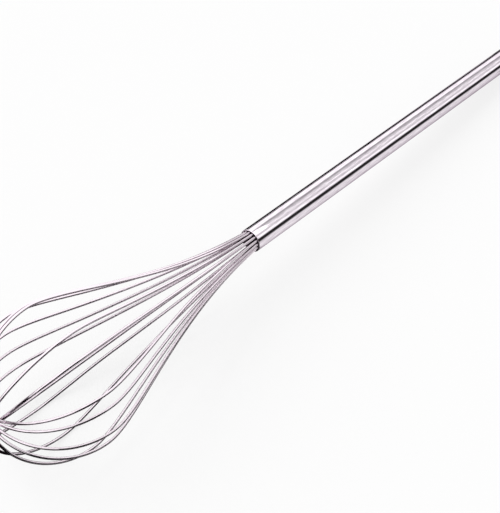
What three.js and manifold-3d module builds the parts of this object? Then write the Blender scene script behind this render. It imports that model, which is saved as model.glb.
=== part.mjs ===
// Balloon whisk, all stainless: eight wire loops held in the mouth of a plain round tube.
// Units are millimetres, +Z is up. The whisk lies on a table, tip toward -X, handle toward +X.
import * as THREE from 'three';
import { mergeVertices } from 'three/examples/jsm/utils/BufferGeometryUtils.js';
import Module from 'manifold-3d';

// Driving sizes
const tubeOuterRadius = 9;
const tubeWall = 0.8;
const tubeLength = 345;
const fitGap = 0.3;

const wireRadius = 1;
const loopCount = 8;
const legInsertion = 45;
const balloonRadius = 51.4;
const bulgeFromMouth = 183;
const firstApexFromMouth = 228.5;
const apexPitch = 2.35;

const plugLength = 38;
const plugRecess = 5;

const capDomeHeight = 6;
const capFlatRadius = 3.2;
const capSpigotLength = 14;

const hangWireRadius = 1.25;
const hangHalfWidth = 5;
const hangReach = 15;
const hangInsertion = 9;

// Shape of one leg between the mouth, the bulge and the crown
const mouthFlare = 0.077;
const flareReach = 91;
const bulgeLeadIn = 26;
const bulgeLeadOut = 28.7;
const crownFullness = 0.59;
const crownBlendRadius = 20;

// How far each leg has drifted from its even slot at the bulge, in degrees, read from the photo
const legDrift = [-1, 6.5, -5, -3.5, -8, -4.5, 7, 13.5, 0, 3.5, -5, -9.5, -7, -2.5, -20, 3.5];

// Sizes that follow
const slotCount = 2 * loopCount;
const slotStep = 360 / slotCount;
const boreRadius = tubeOuterRadius - tubeWall;
const legCircle = boreRadius - fitGap - wireRadius;
const driftEnd = 0.8 * bulgeFromMouth;
const rad = THREE.MathUtils.degToRad;

const wasm = await Module();
wasm.setup();

function steel(name, colour, roughness) {
  const material = new THREE.MeshStandardMaterial({ color: colour, metalness: 1, roughness });
  material.name = name;
  return material;
}

function toManifold(geometry) {
  const bare = new THREE.BufferGeometry();
  bare.setAttribute('position', geometry.getAttribute('position').clone());
  if (geometry.index) bare.setIndex(geometry.index.clone());
  const welded = mergeVertices(bare, 1e-4);
  const corners = welded.index.array;
  const kept = [];
  for (let i = 0; i < corners.length; i += 3) {
    const [a, b, c] = corners.slice(i, i + 3);
    if (a !== b && b !== c && c !== a) kept.push(a, b, c);
  }
  const mesh = new wasm.Mesh({
    numProp: 3,
    vertProperties: new Float32Array(welded.getAttribute('position').array),
    triVerts: new Uint32Array(kept),
  });
  mesh.merge();
  return new wasm.Manifold(mesh);
}

function fromManifold(solid) {
  const mesh = solid.getMesh();
  const geometry = new THREE.BufferGeometry();
  geometry.setAttribute('position', new THREE.BufferAttribute(new Float32Array(mesh.vertProperties), 3));
  geometry.setIndex(new THREE.BufferAttribute(new Uint32Array(mesh.triVerts), 1));
  geometry.computeVertexNormals();
  return geometry;
}

// A round bar along a list of points, with flat closed ends
function roundBar(points, radius, sides) {
  const tangents = points.map((point, i) => {
    const before = points[Math.max(i - 1, 0)];
    const after = points[Math.min(i + 1, points.length - 1)];
    return after.clone().sub(before).normalize();
  });
  const position = [];
  const index = [];
  let across = new THREE.Vector3(0, 0, 1).cross(tangents[0]);
  if (across.length() < 0.1) across = new THREE.Vector3(1, 0, 0);
  points.forEach((point, i) => {
    const tangent = tangents[i];
    across.addScaledVector(tangent, -across.dot(tangent)).normalize();
    const second = tangent.clone().cross(across);
    for (let j = 0; j < sides; j += 1) {
      const angle = (2 * Math.PI * j) / sides;
      const rim = point.clone().addScaledVector(across, radius * Math.cos(angle));
      rim.addScaledVector(second, radius * Math.sin(angle));
      position.push(rim.x, rim.y, rim.z);
    }
  });
  for (let i = 0; i + 1 < points.length; i += 1) {
    for (let j = 0; j < sides; j += 1) {
      const a = i * sides + j;
      const b = i * sides + ((j + 1) % sides);
      index.push(a, b, a + sides, b, b + sides, a + sides);
    }
  }
  const last = (points.length - 1) * sides;
  for (let j = 1; j + 1 < sides; j += 1) {
    index.push(0, j + 1, j, last, last + j, last + j + 1);
  }
  const geometry = new THREE.BufferGeometry();
  geometry.setAttribute('position', new THREE.Float32BufferAttribute(position, 3));
  geometry.setIndex(index);
  geometry.computeVertexNormals();
  return geometry;
}

// Turned pieces: a closed outline of (radius, distance along the axis) swept round the axis
function turned(outline, segments) {
  const closed = outline.map(([radius, along]) => new THREE.Vector2(radius, along));
  closed.push(closed[0].clone());
  const lathe = new THREE.LatheGeometry(closed, segments);
  lathe.rotateX(Math.PI / 2);
  return fromManifold(toManifold(lathe));
}

// Whisk frame: the axis is +Z from the mouth (0) to the tip, bearings run from +X toward -Y
function cubic(a, b, c, d, t) {
  const u = 1 - t;
  return u * u * u * a + 3 * u * u * t * b + 3 * u * t * t * c + t * t * t * d;
}

function legBearing(slot, along) {
  const t = Math.min(Math.max(along / driftEnd, 0), 1);
  return rad(slotStep * slot + legDrift[slot % legDrift.length] * t * t * (3 - 2 * t));
}

function outward(bearing) {
  return new THREE.Vector3(Math.cos(bearing), -Math.sin(bearing), 0);
}

function onLeg(slot, radius, along) {
  const point = outward(legBearing(slot, along)).multiplyScalar(radius);
  point.z = along;
  return point;
}

// Rising part of a leg, from inside the tube to the bulge
function risingLeg(slot, steps) {
  const flare = Math.min(flareReach, 0.5 * bulgeFromMouth);
  const points = [onLeg(slot, legCircle, -legInsertion)];
  points.push(onLeg(slot, legCircle, -6));
  for (let i = 0; i <= steps; i += 1) {
    const t = i / steps;
    const along = cubic(0, flare, bulgeFromMouth - bulgeLeadIn, bulgeFromMouth, t);
    const radius = cubic(legCircle, legCircle + mouthFlare * flare, balloonRadius, balloonRadius, t);
    points.push(onLeg(slot, radius, along));
  }
  return points;
}

// Crown of a loop, from the bulge of one leg over the tip to the bulge of the other
function crown(slotA, slotB, apex, steps) {
  const dirA = outward(legBearing(slotA, bulgeFromMouth));
  const dirB = outward(legBearing(slotB, bulgeFromMouth));
  const points = [];
  for (let i = 1; i < 2 * steps; i += 1) {
    const t = i <= steps ? i / steps : (2 * steps - i) / steps;
    const along = cubic(bulgeFromMouth, bulgeFromMouth + bulgeLeadOut, apex, apex, t);
    const radius = cubic(balloonRadius, balloonRadius, crownFullness * balloonRadius, 0, t);
    const near = i <= steps ? dirA : dirB;
    const point = near.clone().multiplyScalar(radius);
    if (radius < crownBlendRadius) {
      const signed = i <= steps ? radius : -radius;
      const blend = (crownBlendRadius - signed) / (2 * crownBlendRadius);
      const third = crownBlendRadius / 3;
      point.x = cubic(crownBlendRadius * dirA.x, third * dirA.x, third * dirB.x, crownBlendRadius * dirB.x, blend);
      point.y = cubic(crownBlendRadius * dirA.y, third * dirA.y, third * dirB.y, crownBlendRadius * dirB.y, blend);
    }
    point.z = along;
    points.push(point);
  }
  return points;
}

// The two neighbouring legs that the balloon lies on
const restSlots = [6, 7];
const bearingDown = 0.5 * (legBearing(restSlots[0], bulgeFromMouth) + legBearing(restSlots[1], bulgeFromMouth));
const down = outward(bearingDown);
const sideways = down.clone().cross(new THREE.Vector3(0, 0, 1));

const pieces = [];

function addPiece(name, geometry, material) {
  const mesh = new THREE.Mesh(geometry, material);
  mesh.name = name;
  pieces.push(mesh);
}

// Handle tube, open at both ends
const edge = 0.25;
addPiece('handle_tube', turned([
  [boreRadius, -tubeLength],
  [tubeOuterRadius, -tubeLength],
  [tubeOuterRadius, -edge],
  [tubeOuterRadius - edge, 0],
  [boreRadius + edge, 0],
  [boreRadius, -edge],
], 48), steel('brushed stainless steel', 0xcfcacb, 0.3));

// Fluted plug that seats the wire legs against the bore
const plugRadius = boreRadius - fitGap;
const fluteRadius = wireRadius + fitGap;
const cosine = (plugRadius ** 2 + legCircle ** 2 - fluteRadius ** 2) / (2 * plugRadius * legCircle);
const fluteHalfAngle = Math.acos(Math.min(cosine, 1));
const plugShape = new THREE.Shape();
const plugOutline = [];
for (let slot = 0; slot < slotCount; slot += 1) {
  const bearing = rad(slotStep * slot);
  const centre = new THREE.Vector2(legCircle * Math.cos(bearing), legCircle * Math.sin(bearing));
  const start = new THREE.Vector2(Math.cos(bearing - fluteHalfAngle), Math.sin(bearing - fluteHalfAngle));
  start.multiplyScalar(plugRadius).sub(centre);
  const open = Math.abs(Math.atan2(start.y, start.x) - bearing) % (2 * Math.PI);
  const halfOpen = Math.min(open, 2 * Math.PI - open);
  const steps = 7;
  for (let i = 0; i <= steps; i += 1) {
    const turn = bearing - halfOpen - ((2 * Math.PI - 2 * halfOpen) * i) / steps;
    plugOutline.push(new THREE.Vector2(fluteRadius * Math.cos(turn), fluteRadius * Math.sin(turn)).add(centre));
  }
  const land = bearing + rad(slotStep / 2);
  plugOutline.push(new THREE.Vector2(plugRadius * Math.cos(land), plugRadius * Math.sin(land)));
}
plugShape.setFromPoints(plugOutline);
const plugGeometry = new THREE.ExtrudeGeometry(plugShape, { depth: plugLength, bevelEnabled: false });
plugGeometry.translate(0, 0, -plugRecess - plugLength);
addPiece('wire_plug', fromManifold(toManifold(plugGeometry)), steel('dark resin', 0x2b2b2e, 0.6));
pieces[pieces.length - 1].material.metalness = 0;

// Wire loops, innermost first at the crown
for (let loop = 0; loop < loopCount; loop += 1) {
  const slotA = loop;
  const slotB = loop + loopCount;
  const apex = firstApexFromMouth + apexPitch * loop;
  const points = risingLeg(slotA, 20);
  points.push(...crown(slotA, slotB, apex, 22));
  points.push(...risingLeg(slotB, 20).reverse());
  addPiece(`wire_loop_${loop + 1}`, roundBar(points, wireRadius, 8), steel('bright stainless wire', 0xdad6d6, 0.15));
}

// Domed end cap with a spigot in the tube and two holes for the hanging loop
const capBase = -tubeLength - fitGap;
const domeOutline = [];
for (let i = 0; i <= 6; i += 1) {
  const turn = (Math.PI / 2) * (i / 6);
  const radius = capFlatRadius + (tubeOuterRadius - capFlatRadius) * Math.cos(turn);
  domeOutline.push([radius, capBase - 1 - (capDomeHeight - 1) * Math.sin(turn)]);
}
const capBody = toManifold(turned([
  [0, capBase + capSpigotLength],
  [0, capBase - capDomeHeight],
  ...domeOutline.reverse(),
  [tubeOuterRadius, capBase],
  [boreRadius - fitGap, capBase],
  [boreRadius - fitGap, capBase + capSpigotLength],
], 40));
const holeDepth = capDomeHeight + hangInsertion + fitGap;
let capSolid = capBody;
for (const side of [-1, 1]) {
  const hole = wasm.Manifold.cylinder(holeDepth + 1, hangWireRadius + fitGap, hangWireRadius + fitGap, 20);
  const at = sideways.clone().multiplyScalar(side * hangHalfWidth);
  capSolid = capSolid.subtract(hole.translate([at.x, at.y, capBase - capDomeHeight - 1]));
}
addPiece('end_cap', fromManifold(capSolid), steel('brushed stainless cap', 0xc9c5c6, 0.3));

// Hanging loop, a bent wire with both ends in the cap, level with the table when the whisk lies down
function onHang(across, along) {
  const point = sideways.clone().multiplyScalar(across);
  point.z = along;
  return point;
}
const hangPoints = [];
const hangBend = capBase - capDomeHeight - hangReach + hangHalfWidth + hangWireRadius;
const hangTop = capBase + hangInsertion;
hangPoints.push(onHang(-hangHalfWidth, hangTop));
for (let i = 0; i <= 14; i += 1) {
  const turn = (Math.PI * i) / 14;
  hangPoints.push(onHang(-hangHalfWidth * Math.cos(turn), hangBend - hangHalfWidth * Math.sin(turn)));
}
hangPoints.push(onHang(hangHalfWidth, hangTop));
addPiece('hanging_loop', roundBar(hangPoints, hangWireRadius, 10), steel('bright stainless wire loop', 0xd6d2d2, 0.2));

// Lay the whisk down: the two lowest legs and the rear edge of the handle touch the table
const layDown = new THREE.Matrix4();
layDown.makeBasis(new THREE.Vector3(0, 0, -1), sideways, down.clone().negate()).invert();
pieces.forEach((piece) => piece.geometry.applyMatrix4(layDown));

function lowest(piece) {
  piece.geometry.computeBoundingBox();
  return piece.geometry.boundingBox.min.z;
}

const balloon = pieces.filter((piece) => piece.name.startsWith('wire_loop'));
const rear = pieces.filter((piece) => piece.name.startsWith('handle') || piece.name.startsWith('end_cap'));
const restSpan = bulgeFromMouth + tubeLength;
for (let round = 0; round < 6; round += 1) {
  const balloonLow = Math.min(...balloon.map(lowest));
  const rearLow = Math.min(...rear.map(lowest));
  const tilt = Math.atan2(rearLow - balloonLow, restSpan);
  pieces.forEach((piece) => piece.geometry.rotateY(tilt));
}

const group = new THREE.Group();
group.name = 'whisk';
const bounds = new THREE.Box3();
pieces.forEach((piece) => {
  piece.geometry.computeBoundingBox();
  bounds.union(piece.geometry.boundingBox);
});
const centre = bounds.getCenter(new THREE.Vector3());
pieces.forEach((piece) => {
  piece.geometry.translate(-centre.x, -centre.y, -bounds.min.z);
  group.add(piece);
});

export default group;
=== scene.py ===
# %% [markdown]
# A long balloon whisk, all stainless steel
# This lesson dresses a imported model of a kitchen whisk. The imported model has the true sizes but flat
# facets, so each steel piece is made again here as a smooth form in the same place. Only the plug inside
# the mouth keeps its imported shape. All lengths are written in millimetres and multiplied by MM, because
# Blender works in metres.

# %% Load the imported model
import math
import bmesh
import bpy
from mathutils import Matrix, Vector


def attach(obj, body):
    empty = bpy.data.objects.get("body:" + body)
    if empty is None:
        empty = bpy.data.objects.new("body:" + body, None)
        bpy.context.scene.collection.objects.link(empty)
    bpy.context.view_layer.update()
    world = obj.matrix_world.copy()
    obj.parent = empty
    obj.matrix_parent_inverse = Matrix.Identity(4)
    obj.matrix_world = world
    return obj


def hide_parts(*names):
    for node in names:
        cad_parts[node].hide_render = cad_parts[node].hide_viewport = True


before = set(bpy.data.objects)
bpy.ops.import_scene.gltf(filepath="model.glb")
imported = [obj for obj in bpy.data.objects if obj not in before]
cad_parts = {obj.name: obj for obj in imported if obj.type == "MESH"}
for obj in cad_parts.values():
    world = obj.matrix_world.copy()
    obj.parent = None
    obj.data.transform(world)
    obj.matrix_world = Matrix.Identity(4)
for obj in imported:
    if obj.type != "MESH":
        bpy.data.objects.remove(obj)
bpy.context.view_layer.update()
MM = 0.001
print("packed pieces:", sorted(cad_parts))

# %% [markdown]
# Where the whisk lies
# The whisk lies on a table on two legs of its balloon and on the rear edge of its handle, so its axis
# leans a little. Each piece could be drawn leaning, but then every point would carry the lean. Here one
# matrix holds it: its local Z runs from the mouth of the tube to the tip, and its local X points down at
# the table. Every piece is drawn in this straight local frame and then placed with the matrix.

# %% The whisk's own frame
mouth_centre = Vector((-59.945, 0.236, 36.207)) * MM
axis_lean = math.radians(4.513)

to_tip = Vector((-math.cos(axis_lean), 0, math.sin(axis_lean)))
to_table = Vector((-math.sin(axis_lean), 0, -math.cos(axis_lean)))
to_side = to_tip.cross(to_table)
whisk_place = Matrix((to_table, to_side, to_tip)).transposed().to_4x4()
whisk_place.translation = mouth_centre
print("lean of the axis in degrees:", round(math.degrees(axis_lean), 2))

# %% [markdown]
# The camera
# The photograph was taken from in front and above, with a fairly long lens. A camera could be aimed with
# a tracking constraint, but that leaves no room for the roll of a camera held by hand. So it is
# written as a photographer would note it: the point looked at, the distance, the height angle, the
# compass heading and the roll. The values were found by matching the traced wires.

# %% Aim the camera
look_at = Vector((-66.18, -6.54, 29.80)) * MM
camera_distance = 880 * MM
camera_height = math.radians(52.32)
camera_heading = math.radians(32.15)
camera_roll = math.radians(13.41)

forward = Vector((
    math.cos(camera_height) * math.cos(camera_heading),
    math.cos(camera_height) * math.sin(camera_heading),
    -math.sin(camera_height),
))
level_right = forward.cross(Vector((0, 0, 1))).normalized()
level_up = level_right.cross(forward)
right = level_right * math.cos(camera_roll) + level_up * math.sin(camera_roll)
up = right.cross(forward)
print("camera looks along", [round(v, 3) for v in forward])

# %% Set up the camera
sensor_width = 36
lens_length = 88.5
nearest_metres = 0.05
farthest_metres = 20

camera_data = bpy.data.cameras.new("photo_camera")
camera_data.sensor_fit = "HORIZONTAL"
camera_data.sensor_width = sensor_width
camera_data.lens = lens_length
camera_data.clip_start = nearest_metres
camera_data.clip_end = farthest_metres
camera = bpy.data.objects.new("photo_camera", camera_data)
camera.matrix_world = Matrix((right, up, -forward)).transposed().to_4x4()
camera.location = look_at - forward * camera_distance
bpy.context.scene.collection.objects.link(camera)
bpy.context.scene.camera = camera
bpy.context.scene.view_settings.view_transform = "Standard"
print("camera at", [round(v, 3) for v in camera.location])

# %% [markdown]
# Colours and nodes
# Colours are written as the sRGB hex values that a colour picker shows. Shaders work in linear light, so
# one function converts them. A second small function adds a node, sets its values and links its inputs.
# Nodes could also be placed by hand, but in a script each look can be read and changed line by line.

# %% Colour and node helpers
def linear(hex_colour):
    channels = [int(hex_colour[i:i + 2], 16) / 255 for i in (1, 3, 5)]
    return [c / 12.92 if c <= 0.04045 else ((c + 0.055) / 1.055) ** 2.4 for c in channels] + [1.0]


def add_node(tree, kind, inputs=None, **settings):
    node = tree.nodes.new(kind)
    for name, value in settings.items():
        setattr(node, name, value)
    for socket, value in (inputs or {}).items():
        if isinstance(value, bpy.types.NodeSocket):
            tree.links.new(value, node.inputs[socket])
        else:
            node.inputs[socket].default_value = value
    return node


def new_material(name):
    material = bpy.data.materials.new(name)
    material.use_nodes = True
    material.node_tree.nodes.clear()
    return material, material.node_tree


PLAIN_WHITE = linear("#ffffff")
print("plain white in linear light:", PLAIN_WHITE)

# %% [markdown]
# Brushed stainless tube
# The handle is a welded stainless tube, polished along its length with a fine belt. That leaves hair lines
# that run with the tube: they blur reflections a little and give the eye thin streaks of brighter and
# duller metal. Anisotropic shading could give the blur but no streaks, so a noise that is stretched along
# the tube drives gloss, tone and a faint bump together. The real lines are a few hundredths of a
# millimetre apart, too fine to show here, so they are drawn 0.8 mm apart and 8 mm long. At a glancing angle
# this steel is darker than a perfect mirror, which the specular tint gives: it draws the thin grey line
# along the lower edge of the tube.

# %% Stretch a pattern along the whisk
hairline_spacing = 0.8 * MM
hairline_length = 8 * MM


def along_whisk(tree):
    place = add_node(tree, "ShaderNodeTexCoord")
    return add_node(tree, "ShaderNodeMapping", {
        "Vector": place.outputs["Object"],
        "Rotation": (0, axis_lean, 0),
        "Scale": (hairline_length, hairline_spacing, hairline_spacing),
    }, vector_type="TEXTURE")


print("hair lines are drawn", round(hairline_length / hairline_spacing), "times as long as wide")

# %% Make the tube's steel
hairline_depth = 0.02 * MM


# Tones and roughness are pairs, for the brightest and the dullest streak
def brushed_steel(name, tones, roughness):
    material, tree = new_material(name)
    streak = add_node(tree, "ShaderNodeTexNoise", {
        "Vector": along_whisk(tree).outputs["Vector"],
        "Scale": 1.0,
        "Detail": 4.0,
        "Roughness": 0.6,
    })
    # The noise keeps near its middle, so that range is stretched to run from 0 to 1
    wear = add_node(tree, "ShaderNodeMapRange", {
        "Value": streak.outputs["Fac"],
        "From Min": 0.32,
        "From Max": 0.68,
    })
    rough = add_node(tree, "ShaderNodeMapRange", {
        "Value": wear.outputs["Result"],
        "To Min": roughness[0],
        "To Max": roughness[1],
    })
    tone = add_node(tree, "ShaderNodeMix", {
        "Factor": wear.outputs["Result"],
        "A": linear(tones[0]),
        "B": linear(tones[1]),
    }, data_type="RGBA")
    bump = add_node(tree, "ShaderNodeBump", {
        "Height": streak.outputs["Fac"],
        "Strength": 0.04,
        "Distance": hairline_depth,
    })
    steel = add_node(tree, "ShaderNodeBsdfPrincipled", {
        "Base Color": tone.outputs["Result"],
        "Metallic": 1.0,
        "Roughness": rough.outputs["Result"],
        "Specular Tint": linear("#a39aa2"),
        "Normal": bump.outputs["Normal"],
    })
    add_node(tree, "ShaderNodeOutputMaterial", {"Surface": steel.outputs["BSDF"]})
    return material


tube_steel = brushed_steel(
    "belt_polished_stainless_tube", tones=("#f7f0f6", "#d3c9d2"), roughness=(0.04, 0.12),
)
print("made", tube_steel.name)

# %% [markdown]
# The room that the steel reflects
# Polished steel has almost no colour of its own: it shows the room. On a straight tube every part of the
# room becomes a stripe along the length, so the stripes of the photograph can be read as a list of what
# hung at which angle round the whisk. The room could be built from many lamps and cards, but a list of
# brightnesses by angle is shorter and easy to tune.

# %% List the stripes
# Angle in degrees from the near side of the table over the top to the far side, and the brightness there
room_stripes = [
    # The near edge of the table, then the dark near wall
    (-20, 0.90), (3, 0.90), (7, 0.70), (11, 0.25), (15, 0.02), (35, 0.02),
    # A bright strip
    (39, 0.45), (44, 1.32), (54, 1.32), (59, 1.02),
    # The ceiling, pale overhead and shaded beyond
    (65, 0.74), (69, 0.74), (77, 1.0), (84, 1.15), (91, 1.02),
    (98, 0.82), (106, 0.62), (115, 0.44), (122, 0.44),
    # A long soft box, then the dark far wall
    (126, 0.9), (130, 1.38), (164, 1.38), (169, 0.5), (173, 0.02), (200, 0.02),
]
print("brightest stripe:", max(level for angle, level in room_stripes))

# %% [markdown]
# The angle of a direction
# A room of lamps would sort itself by angle. A list has to be told where each reflection looks, so the
# world asks two things of a direction: how far it points up from the table, and how far to the near side.
# The arctangent of the two is the angle round the whisk, and one full turn of it fills a colour ramp.

# %% Find the angle of a direction
first_angle = -90
last_angle = 270
to_near_side = (0, -1, 0)

world = bpy.data.worlds.new("white_studio")
bpy.context.scene.world = world
world.use_nodes = True
tree = world.node_tree
tree.nodes.clear()
direction = add_node(tree, "ShaderNodeTexCoord").outputs["Generated"]
lift = add_node(tree, "ShaderNodeVectorMath", {0: direction, 1: -to_table}, operation="DOT_PRODUCT")
nearness = add_node(tree, "ShaderNodeVectorMath", {
    0: direction, 1: to_near_side,
}, operation="DOT_PRODUCT")
turn = add_node(tree, "ShaderNodeMath", {
    0: lift.outputs["Value"], 1: nearness.outputs["Value"],
}, operation="ARCTAN2")
wrapped = add_node(tree, "ShaderNodeMath", {
    0: turn.outputs["Value"], 1: math.radians(last_angle), 2: math.radians(first_angle),
}, operation="WRAP")
share = add_node(tree, "ShaderNodeMapRange", {
    "Value": wrapped.outputs["Value"],
    "From Min": math.radians(first_angle),
    "From Max": math.radians(last_angle),
})
print("the ramp covers", last_angle - first_angle, "degrees")

# %% Paint the stripes by angle
room = add_node(tree, "ShaderNodeValToRGB", {"Fac": share.outputs["Result"]})
stops = room.color_ramp.elements
stops.remove(stops[-1])
for number, (angle, level) in enumerate(room_stripes):
    position = (angle - first_angle) / (last_angle - first_angle)
    stop = stops[0] if number == 0 else stops.new(position)
    stop.position = position
    stop.color = (level, level, level, 1)
print("stripes in the room:", len(stops))

# %% [markdown]
# Which light meets which stripe
# The stripes are for reflections only. The table is lit by a plain even white, and a camera that looks
# past the table sees white. Three sets of lamps could do that, but one world that answers three kinds of
# ray in three ways needs no lamp to be hidden.

# %% Share the world between the kinds of ray
even_level = 0.66

rays = add_node(tree, "ShaderNodeLightPath")
even_light = add_node(tree, "ShaderNodeBackground", {"Color": PLAIN_WHITE, "Strength": even_level})
mirror_light = add_node(tree, "ShaderNodeBackground", {"Color": room.outputs["Color"], "Strength": 1.0})
white_end = add_node(tree, "ShaderNodeBackground", {"Color": PLAIN_WHITE, "Strength": 1.0})
seen_in_metal = add_node(tree, "ShaderNodeMixShader", {
    0: rays.outputs["Is Glossy Ray"], 1: even_light.outputs[0], 2: mirror_light.outputs[0],
})
seen = add_node(tree, "ShaderNodeMixShader", {
    0: rays.outputs["Is Camera Ray"], 1: seen_in_metal.outputs[0], 2: white_end.outputs[0],
})
add_node(tree, "ShaderNodeOutputWorld", {"Surface": seen.outputs[0]})
print("even light:", even_level)

# %% [markdown]
# White paper
# The whisk lies on matt white paper, whose fibres vary the white a little. Fibres are far below a pixel
# here, so they are drawn 1 mm wide. The photograph was exposed until its paper was nearly pure white. More
# lamps could do that, but they would bleach the steel too. Instead, part of what the camera sees is plain
# white and the rest is lit paper, so a faint shadow stays. Metal sees almost only the white, so the lower
# side of the tube stays bright down to its edge.

# %% Make the paper's look
fibre_width = 1 * MM
white_for_camera = 0.72
white_for_metal = 0.95

paper, tree = new_material("matt_white_paper")
place = add_node(tree, "ShaderNodeTexCoord")
fibre = add_node(tree, "ShaderNodeTexNoise", {
    "Vector": place.outputs["Object"], "Scale": 1 / fibre_width, "Detail": 2.0,
})
paper_tone = add_node(tree, "ShaderNodeMix", {
    "Factor": fibre.outputs["Fac"], "A": linear("#fbfbfb"), "B": linear("#f8f8f8"),
}, data_type="RGBA")
paper_face = add_node(tree, "ShaderNodeBsdfDiffuse", {"Color": paper_tone.outputs["Result"]})
paper_white = add_node(tree, "ShaderNodeEmission", {"Color": PLAIN_WHITE, "Strength": 1.0})
rays = add_node(tree, "ShaderNodeLightPath")
in_metal = add_node(tree, "ShaderNodeMath", {
    0: rays.outputs["Is Glossy Ray"], 1: white_for_metal,
}, operation="MULTIPLY")
white_share = add_node(tree, "ShaderNodeMath", {
    0: rays.outputs["Is Camera Ray"], 1: white_for_camera, 2: in_metal.outputs["Value"],
}, operation="MULTIPLY_ADD")
paper_look = add_node(tree, "ShaderNodeMixShader", {
    0: white_share.outputs["Value"], 1: paper_face.outputs["BSDF"], 2: paper_white.outputs["Emission"],
})
add_node(tree, "ShaderNodeOutputMaterial", {"Surface": paper_look.outputs["Shader"]})
print("made", paper.name)

# %% Lay the paper
paper_half = 3000 * MM
paper_drop = 0.02 * MM

paper_corners = [(x * paper_half, y * paper_half, 0) for x, y in ((-1, -1), (1, -1), (1, 1), (-1, 1))]
table_mesh = bpy.data.meshes.new("paper_sheet")
table_mesh.from_pydata(paper_corners, [], [(0, 1, 2, 3)])
table = bpy.data.objects.new("paper_sheet", table_mesh)
table.data.materials.append(paper)
table.location.z = -paper_drop
bpy.context.scene.collection.objects.link(table)
print("paper side in metres:", 2 * paper_half)

# %% [markdown]
# One soft lamp
# A broad lamp stands behind the whisk on the far left, so the shadow falls softly on the near side. An area
# lamp close by would leave a bright pool, so a sun lamp with a wide angle keeps the paper evenly bright. It
# is kept out of the reflections, because the room's stripes already stand for it there.

# %% Hang the lamp
lamp_spread = math.radians(50)
lamp_level = 1.7
lamp_shines_to = Vector((0.5, -1.0, -0.9))

lamp_data = bpy.data.lights.new("soft_lamp", "SUN")
lamp_data.angle = lamp_spread
lamp_data.energy = lamp_level
lamp = bpy.data.objects.new("soft_lamp", lamp_data)
lamp.rotation_euler = lamp_shines_to.to_track_quat("-Z", "Y").to_euler()
lamp.visible_glossy = False
bpy.context.scene.collection.objects.link(lamp)
print("lamp softness in degrees:", round(math.degrees(lamp_data.angle)))

# %% [markdown]
# Black cards round the whisk
# Bright wire on white paper would vanish. It could be given dark edges with paint, but those would not
# move with the view. Photographers use cards that stand just out of the picture: black ones below the
# wires and on their near side draw a dark line along the lower side of each wire. These are matt velvet,
# which gives the eye nothing but black. They show only in reflections, so one can lie right under the
# balloon. That one is feathered where it meets the handle, so that the tube does not mirror a hard end.

# %% Cut the velvet
feather_start = -62 * MM
feather_end = -26 * MM


def velvet(name, feathered):
    material, tree = new_material(name)
    face = add_node(tree, "ShaderNodeBsdfDiffuse", {"Color": linear("#141214")})
    look = face.outputs["BSDF"]
    if feathered:
        place = add_node(tree, "ShaderNodeTexCoord")
        along = add_node(tree, "ShaderNodeSeparateXYZ", {"Vector": place.outputs["Object"]})
        fade = add_node(tree, "ShaderNodeMapRange", {
            "Value": along.outputs["X"], "From Min": feather_start, "From Max": feather_end,
        })
        clear = add_node(tree, "ShaderNodeBsdfTransparent")
        soft = add_node(tree, "ShaderNodeMixShader", {
            0: fade.outputs["Result"], 1: look, 2: clear.outputs["BSDF"],
        })
        look = soft.outputs["Shader"]
    add_node(tree, "ShaderNodeOutputMaterial", {"Surface": look})
    return material


hard_velvet = velvet("black_velvet", False)
soft_velvet = velvet("feathered_black_velvet", True)
print("made", hard_velvet.name, "and", soft_velvet.name)

# %% [markdown]
# Where the black cards stand
# A card is one or more flat sheets, each given by its corners in millimetres. One sheet lies under the
# balloon, and walls stand on it at the near side and beyond the tip. A tall curtain stands further off on
# the near side. A strip behind the handle draws the thin dark line along its back, and a small card does
# the same for the hanging loop. Boxes would do as well, but only the side that faces the whisk is seen.

# %% Helpers for cards
# Between the paper and the whisk
card_level = -0.01


def on_paper(corners):
    return [(x, y, card_level) for x, y in corners]


def set_card(name, sheets, material):
    corners = []
    faces = []
    for sheet in sheets:
        faces.append([len(corners) + i for i in range(len(sheet))])
        corners += [Vector(corner) * MM for corner in sheet]
    mesh = bpy.data.meshes.new(name)
    mesh.from_pydata(corners, [], faces)
    mesh.materials.append(material)
    card = bpy.data.objects.new(name, mesh)
    card.visible_camera = False
    card.visible_diffuse = False
    card.visible_shadow = False
    bpy.context.scene.collection.objects.link(card)
    print("set up", name)


print("height of the flat cards in mm:", card_level)

# %% Set up the black cards
under = on_paper([(-450, -150), (-26, -62), (-46, 0), (-54, 50), (-450, 50)])
near_wall = [under[0], (-26, -62, 36), (-26, -62, 48), (-450, -150, 150)]
tip_wall = [under[0], (-450, -150, 75), (-450, 500, 75), (-450, 500, 0)]
set_card("black_card", [under, near_wall, tip_wall], soft_velvet)

curtain = [(-450, -300, 0), (-120, -300, 0), (-120, -300, 820), (-450, -300, 820)]
set_card("black_curtain", [curtain], hard_velvet)

behind = on_paper([
    (-23, 50), (-45, 97), (-75, 133), (-140, 205), (-140, 500), (900, 500), (900, 50),
])
set_card("black_strip", [behind], hard_velvet)

rear = on_paper([(286, -40), (360, -40), (360, 40), (286, 40)])
set_card("black_rear_card", [rear], hard_velvet)

# %% [markdown]
# White cards over the balloon
# Three white cards keep the upper side of each wire as bright as the paper: a ceiling, a slope over the
# mouth of the handle and a wall on the far side. White board under lamps could do it, but the lamps would
# light the table too. The cards' only job is to be an even white in the steel, so they glow. The wire
# gives back about two thirds of the light, so they glow half as bright again as white.

# %% Set up the white cards
card_glow = 1.5

lit_card, tree = new_material("lit_white_card")
lit_face = add_node(tree, "ShaderNodeEmission", {"Color": PLAIN_WHITE, "Strength": card_glow})
add_node(tree, "ShaderNodeOutputMaterial", {"Surface": lit_face.outputs["Emission"]})

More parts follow.
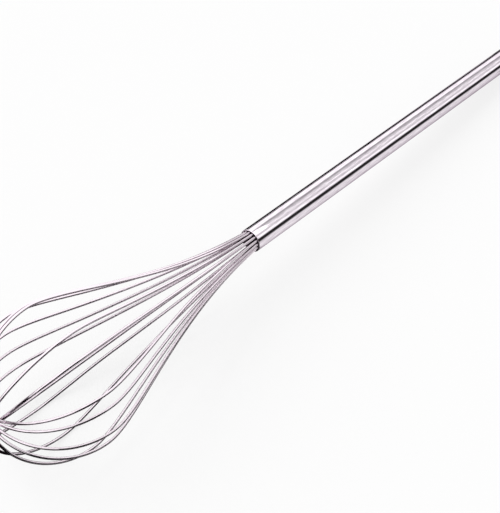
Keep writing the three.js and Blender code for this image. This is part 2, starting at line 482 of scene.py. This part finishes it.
ceiling = [(-450, -50, 150), (-450, 600, 150), (60, 600, 220), (60, -50, 220)]
slope = [(-41, -35, 85), (-41, 90, 85), (38, 90, 215), (38, -35, 215)]
far_wall = [(-270, 80, 40), (-25, 80, 40), (-25, 80, 140), (-270, 80, 140)]
for name, sheet in (("white_ceiling", ceiling), ("white_slope", slope), ("white_wall", far_wall)):
    set_card(name, [sheet], lit_card)

# %% [markdown]
# Turned pieces
# The tube and its end cap are round about the axis. A lathe makes such a piece: an outline of radius and
# height is turned round the axis. Blender's screw modifier could do it, but a short function keeps every
# corner where the outline puts it: a ring of points for each corner, with the rings joined by faces.

# %% A lathe for round pieces
crease_angle = math.radians(40)


def lathe(name, outline, material, ring=128):
    mesh = bmesh.new()
    rings = []
    for radius, along in outline:
        if radius == 0:
            rings.append([mesh.verts.new((0, 0, along * MM))])
            continue
        angles = [2 * math.pi * i / ring for i in range(ring)]
        points = [(radius * math.cos(a) * MM, radius * math.sin(a) * MM, along * MM) for a in angles]
        rings.append([mesh.verts.new(point) for point in points])
    for first, second in zip(rings, rings[1:] + rings[:1]):
        for i in range(ring):
            corners = [first[i % len(first)], first[(i + 1) % len(first)]]
            corners += [second[(i + 1) % len(second)], second[i % len(second)]]
            corners = list(dict.fromkeys(corners))
            if len(corners) > 2:
                mesh.faces.new(corners)
    bmesh.ops.recalc_face_normals(mesh, faces=mesh.faces)
    mesh.transform(whisk_place)
    data = bpy.data.meshes.new(name)
    mesh.to_mesh(data)
    mesh.free()
    data.shade_smooth()
    data.set_sharp_from_angle(angle=crease_angle)
    data.materials.append(material)
    piece = bpy.data.objects.new(name, data)
    bpy.context.scene.collection.objects.link(piece)
    return piece


print("edges stay sharp from", round(math.degrees(crease_angle)), "degrees")

# %% [markdown]
# The handle tube
# A plain tube of 18 mm with a thin wall. Its mouth is cut square and the burr is rolled off, so both edges
# of the wall get a small round. A bevel modifier could give it, but drawn in the outline it keeps its size.
# That round is what catches the light as a fine bright line at the mouth.

# %% Turn the handle tube
tube_radius = 9.0
tube_wall = 0.8
tube_length = 345.0
lip = 0.3


def quarter_round(centre, radius, start, end, steps=4):
    angles = [math.radians(start + (end - start) * i / steps) for i in range(steps + 1)]
    return [(centre[0] + radius * math.cos(a), centre[1] + radius * math.sin(a)) for a in angles]


bore = tube_radius - tube_wall
tube_outline = [(bore, -tube_length), (tube_radius, -tube_length)]
tube_outline += quarter_round((tube_radius - lip, -lip), lip, 0, 90)
tube_outline += quarter_round((bore + lip, -lip), lip, 90, 180)
handle = lathe("handle_tube_smooth", tube_outline, tube_steel)
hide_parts("handle_tube")
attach(handle, "root")
print("handle faces:", len(handle.data.polygons))

# %% [markdown]
# Drawn stainless wire
# The loops are hard stainless wire, drawn through a die and then tumbled bright. The surface is smoother
# than the tube's, so it gives the eye crisp lines of black and white, with faint cloudy patches from the
# tumbling. Even gloss would look like chrome plate, so patches of about 4 mm vary it. The marks of the die
# are drawn 0.4 mm wide, coarser than real, as a faint bump. At a glancing angle the tumbled wire stays
# nearly a full mirror, so its specular tint is much lighter than the tube's.

# %% Make the wire's steel
tumble_patch = 4 * MM
die_mark = 0.4 * MM
die_mark_depth = 0.02 * MM

wire_steel, tree = new_material("tumbled_stainless_wire")
place = add_node(tree, "ShaderNodeTexCoord")
patch = add_node(tree, "ShaderNodeTexNoise", {
    "Vector": place.outputs["Object"], "Scale": 1 / tumble_patch, "Detail": 3.0,
})
wire_rough = add_node(tree, "ShaderNodeMapRange", {
    "Value": patch.outputs["Fac"], "From Min": 0.3, "From Max": 0.7, "To Min": 0.05, "To Max": 0.1,
})
wire_tone = add_node(tree, "ShaderNodeMix", {
    "Factor": patch.outputs["Fac"], "A": linear("#e7dde4"), "B": linear("#d7cdd4"),
}, data_type="RGBA")
mark = add_node(tree, "ShaderNodeTexNoise", {
    "Vector": place.outputs["Object"], "Scale": 1 / die_mark, "Detail": 2.0,
})
wire_bump = add_node(tree, "ShaderNodeBump", {
    "Height": mark.outputs["Fac"], "Strength": 0.05, "Distance": die_mark_depth,
})
wire_face = add_node(tree, "ShaderNodeBsdfPrincipled", {
    "Base Color": wire_tone.outputs["Result"],
    "Metallic": 1.0,
    "Roughness": wire_rough.outputs["Result"],
    "Specular Tint": linear("#f0e8ee"),
    "Normal": wire_bump.outputs["Normal"],
})
add_node(tree, "ShaderNodeOutputMaterial", {"Surface": wire_face.outputs["BSDF"]})
print("made", wire_steel.name)

# %% [markdown]
# Which way a leg points
# Sixteen legs leave the mouth in even slots. On its way to the bulge each drifts a few degrees from its
# slot, as hand-bent wire does. One leg could be copied round the axis, but a real whisk is never that even,
# so each slot has a drift of its own. The whole balloon is then turned so that it rests on two legs.

# %% Slots and drift of the legs
loop_count = 8
slot_step = 180 / loop_count
leg_drift = [-1, 6.5, -5, -3.5, -8, -4.5, 7, 13.5, 0, 3.5, -5, -9.5, -7, -2.5, -20, 3.5]
table_legs = (6, 7)
table_bearing = sum(slot_step * slot + leg_drift[slot] for slot in table_legs) / len(table_legs)
bulge_from_mouth = 183.0
drift_reach = 0.8 * bulge_from_mouth


def outward(slot, along):
    t = min(max(along / drift_reach, 0), 1)
    bearing = slot_step * slot + leg_drift[slot] * t * t * (3 - 2 * t) - table_bearing
    return Vector((math.cos(math.radians(bearing)), -math.sin(math.radians(bearing)), 0))


print("bearing that faces the table:", table_bearing)

# %% [markdown]
# The path of one leg
# Inside the tube a leg is straight and lies against the bore. From the mouth it rises in an S curve to the
# bulge. The points could be traced one by one, but one cubic curve gives the spring of bent wire and needs
# only a few lengths: how far the wire keeps its first slope, and how early it levels out at the bulge.

# %% Draw a leg
wire_radius = 1.0
leg_clearance = 0.3
leg_circle = bore - leg_clearance - wire_radius
leg_insertion = 45.0
points_in_tube = (-leg_insertion, -20, -6)
mouth_flare = 0.077
flare_reach = 91.0
bulge_lead_in = 26.0
balloon_radius = 51.4


def cubic(a, b, c, d, t):
    u = 1 - t
    return a * u ** 3 + b * 3 * u * u * t + c * 3 * u * t * t + d * t ** 3


def leg(slot, steps=48):
    points = [outward(slot, 0) * leg_circle + Vector((0, 0, along)) for along in points_in_tube]
    flared = leg_circle + mouth_flare * flare_reach
    for i in range(steps + 1):
        t = i / steps
        along = cubic(0, flare_reach, bulge_from_mouth - bulge_lead_in, bulge_from_mouth, t)
        radius = cubic(leg_circle, flared, balloon_radius, balloon_radius, t)
        points.append(outward(slot, along) * radius + Vector((0, 0, along)))
    return points


print("points on a leg:", len(leg(0)))

# %% [markdown]
# The crown of a loop
# Over the tip, two opposite legs join in a round crown. The eight crowns are nested on the axis, each one
# wire further out than the last, as the maker slips one loop over the next. Half circles would all have
# one height, so each crown is a cubic curve too. Its two legs are not quite opposite, so near the axis
# the path blends from the direction of one to that of the other.

# %% Draw a crown
first_apex = 228.5
apex_pitch = 2.35
bulge_lead_out = 28.7
crown_fullness = 0.59
crown_blend = 20.0


def crown(slot_a, slot_b, apex, steps=48):
    side_a = outward(slot_a, bulge_from_mouth)
    side_b = outward(slot_b, bulge_from_mouth)
    third = crown_blend / 3
    blend_path = (side_a * crown_blend, side_a * third, side_b * third, side_b * crown_blend)
    points = []
    for i in range(1, 2 * steps):
        t = min(i, 2 * steps - i) / steps
        along = cubic(bulge_from_mouth, bulge_from_mouth + bulge_lead_out, apex, apex, t)
        radius = cubic(balloon_radius, balloon_radius, crown_fullness * balloon_radius, 0, t)
        point = (side_a if i <= steps else side_b) * radius
        if radius < crown_blend:
            signed = radius if i <= steps else -radius
            point = cubic(*blend_path, (crown_blend - signed) / (2 * crown_blend))
        points.append(point + Vector((0, 0, along)))
    return points


print("points on a crown:", len(crown(0, loop_count, first_apex)))

# %% [markdown]
# The wire loops
# A tube of faces could be built along each path by hand. A curve with a round bevel is the plainer way to
# make wire: Blender sweeps a circle along the points and closes the ends. The curve keeps its thickness
# exactly, and a change to the path changes the wire at once.

# %% Sweep the eight loops
def wire(name, points, radius, material):
    data = bpy.data.curves.new(name, "CURVE")
    data.dimensions = "3D"
    data.bevel_depth = radius * MM
    data.bevel_resolution = 3
    data.use_fill_caps = True
    spline = data.splines.new("POLY")
    spline.points.add(len(points) - 1)
    for target, point in zip(spline.points, points):
        target.co = (*(whisk_place @ (point * MM)), 1)
    spline.use_smooth = True
    data.materials.append(material)
    piece = bpy.data.objects.new(name, data)
    bpy.context.scene.collection.objects.link(piece)
    return piece


for number in range(loop_count):
    path = leg(number)
    path += crown(number, number + loop_count, first_apex + apex_pitch * number)
    path += reversed(leg(number + loop_count))
    loop = wire(f"wire_loop_{number + 1}_smooth", path, wire_radius, wire_steel)
    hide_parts(f"wire_loop_{number + 1}")
    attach(loop, "root")
print("loops made:", loop_count)

# %% [markdown]
# The end cap
# The rear of the handle is closed by a pressed cap with a low rim, a soft dome and a small flat, and a
# spigot centres it in the tube. It could be modelled from a sphere, but it is round about the axis, so the
# lathe turns it. Its steel is finished satin: the same hair lines, but rougher, which gives the eye a soft
# even sheen in place of the tube's stripes.

# %% Turn the cap
cap_gap = 0.3
cap_base = -tube_length - cap_gap
rim_height = 1.0
dome_height = 6.0
dome_steps = 12
flat_radius = 3.2
spigot_length = 14.0
spigot_clearance = 0.3
spigot_radius = bore - spigot_clearance

cap_outline = [(0, cap_base + spigot_length), (0, cap_base - dome_height)]
for i in range(dome_steps, -1, -1):
    bend = math.radians(90 * i / dome_steps)
    dome_radius = flat_radius + (tube_radius - flat_radius) * math.cos(bend)
    dome_rise = (dome_height - rim_height) * math.sin(bend)
    cap_outline.append((dome_radius, cap_base - rim_height - dome_rise))
cap_outline += [(tube_radius, cap_base), (spigot_radius, cap_base)]
cap_outline += [(spigot_radius, cap_base + spigot_length)]
cap_steel = brushed_steel(
    "satin_stainless_cap", tones=("#f2eaf0", "#e4dbe2"), roughness=(0.18, 0.28),
)
cap = lathe("end_cap_smooth", cap_outline, cap_steel, ring=96)
print("cap faces before drilling:", len(cap.data.polygons))

# %% [markdown]
# Holes for the hanging loop
# Two drilled holes in the dome take the ends of the hanging loop. They could be left out, with the wire
# pushed through the steel, but then no edge would show round the wire. A boolean modifier cuts them as a
# drill would: a round bit goes in, and what it takes up is gone.

# %% Drill the cap
hang_half_width = 5.0
hang_wire = 1.25
hang_depth = 9
hole_clearance = 0.3
bit_overrun = 1
bit_radius = hang_wire + hole_clearance
bit_length = dome_height + hang_depth + hole_clearance + bit_overrun
bit_middle = cap_base - dome_height - bit_overrun + bit_length / 2

for side in (-1, 1):
    bit = bmesh.new()
    bmesh.ops.create_cone(
        bit, cap_ends=True, segments=32, depth=bit_length * MM,
        radius1=bit_radius * MM, radius2=bit_radius * MM,
    )
    bit_place = Matrix.Translation(Vector((0, side * hang_half_width, bit_middle)) * MM)
    bit.transform(whisk_place @ bit_place)
    drill_data = bpy.data.meshes.new("drill_bit")
    bit.to_mesh(drill_data)
    bit.free()
    drill = bpy.data.objects.new("drill_bit", drill_data)
    bpy.context.scene.collection.objects.link(drill)
    cut = cap.modifiers.new("drill", "BOOLEAN")
    cut.operation = "DIFFERENCE"
    cut.object = drill
    bpy.context.view_layer.update()
    drilled_cap = cap.evaluated_get(bpy.context.evaluated_depsgraph_get())
    drilled = bpy.data.meshes.new_from_object(drilled_cap)
    cap.modifiers.clear()
    cap.data = drilled
    bpy.data.objects.remove(drill)
cap.data.set_sharp_from_angle(angle=crease_angle)
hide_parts("end_cap")
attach(cap, "root")
print("cap faces after drilling:", len(cap.data.polygons))

# %% [markdown]
# The hanging loop
# A short piece of thicker wire bent to a U, with both ends in the cap. It lies level with the table. A
# torus cut in half could make the bend, but the sweep that made the loops gives bend and legs in one piece.

# %% Bend the hanging loop
hang_reach = 15.0
bend_steps = 32
hang_end = cap_base + hang_depth
bend_centre = cap_base - dome_height - hang_reach + hang_half_width + hang_wire

hang_path = [Vector((0, -hang_half_width, hang_end))]
for i in range(bend_steps + 1):
    bend = math.pi * i / bend_steps
    across = -hang_half_width * math.cos(bend)
    hang_path.append(Vector((0, across, bend_centre - hang_half_width * math.sin(bend))))
hang_path.append(Vector((0, hang_half_width, hang_end)))
hanger = wire("hanging_loop_smooth", hang_path, hang_wire, wire_steel)
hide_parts("hanging_loop")
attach(hanger, "root")
print("hanging loop points:", len(hang_path))

# %% [markdown]
# The sealing resin
# The legs are set in dark filled epoxy a little way inside the mouth. It is matt, with a grain of filler
# that is drawn 0.5 mm wide, coarser than real, and it gives the eye only the dark between the wires. It
# could be made again as a disc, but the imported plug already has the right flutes, so it keeps its shape
# and only gets a material.

# %% Colour the plug
filler_grain = 0.5 * MM
grain_depth = 0.1 * MM

resin, tree = new_material("cast_filled_epoxy")
place = add_node(tree, "ShaderNodeTexCoord")
grain = add_node(tree, "ShaderNodeTexNoise", {
    "Vector": place.outputs["Object"], "Scale": 1 / filler_grain, "Detail": 3.0,
})
resin_tone = add_node(tree, "ShaderNodeMix", {
    "Factor": grain.outputs["Fac"], "A": linear("#1c1b1e"), "B": linear("#343237"),
}, data_type="RGBA")
resin_bump = add_node(tree, "ShaderNodeBump", {
    "Height": grain.outputs["Fac"], "Strength": 0.3, "Distance": grain_depth,
})
resin_face = add_node(tree, "ShaderNodeBsdfPrincipled", {
    "Base Color": resin_tone.outputs["Result"],
    "Roughness": 0.6,
    "IOR": 1.55,
    "Normal": resin_bump.outputs["Normal"],
})
add_node(tree, "ShaderNodeOutputMaterial", {"Surface": resin_face.outputs["BSDF"]})
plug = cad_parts["wire_plug"]
plug.data.materials.clear()
plug.data.materials.append(resin)
print("plug material:", plug.data.materials[0].name)
